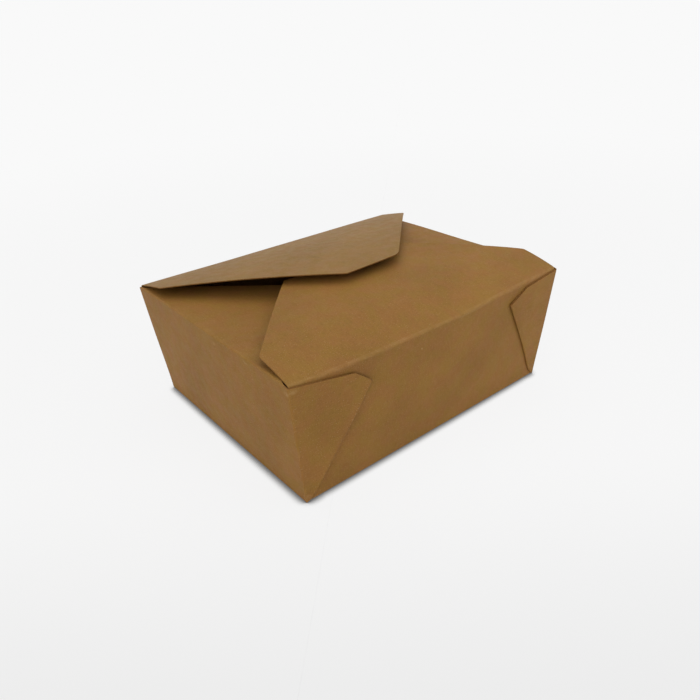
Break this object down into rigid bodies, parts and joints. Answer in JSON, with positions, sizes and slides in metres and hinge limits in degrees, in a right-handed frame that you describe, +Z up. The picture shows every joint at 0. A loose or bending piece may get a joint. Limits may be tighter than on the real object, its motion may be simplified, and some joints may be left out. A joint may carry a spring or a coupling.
{
  "type": "takeaway box",
  "caption": "Folded takeaway food box of brown kraft board with leaning walls, folded corner gussets and overlapping top flaps; the back flap lifts.",
  "frame": {"origin": "middle of the base's underside, on the surface that the box stands on", "axes": "+X along the box's length, -Y towards the front wall, +Z up"},
  "size_m": [0.1704, 0.1364, 0.0766],
  "materials": {
    "kraft_board": "matte",
    "kraft_board_back": "matte"
  },
  "bodies": {
    "carton": {"box_body": "kraft_board"},
    "lid": {"back_flap": "kraft_board_back"}
  },
  "joints": [
    {"name": "back_flap_fold", "type": "hinge", "parent": "carton", "child": "lid", "pos_m": [0, 0.06686, 0.063], "axis": [-1, 0, 0], "range_deg": [-3, 160]}
  ]
}
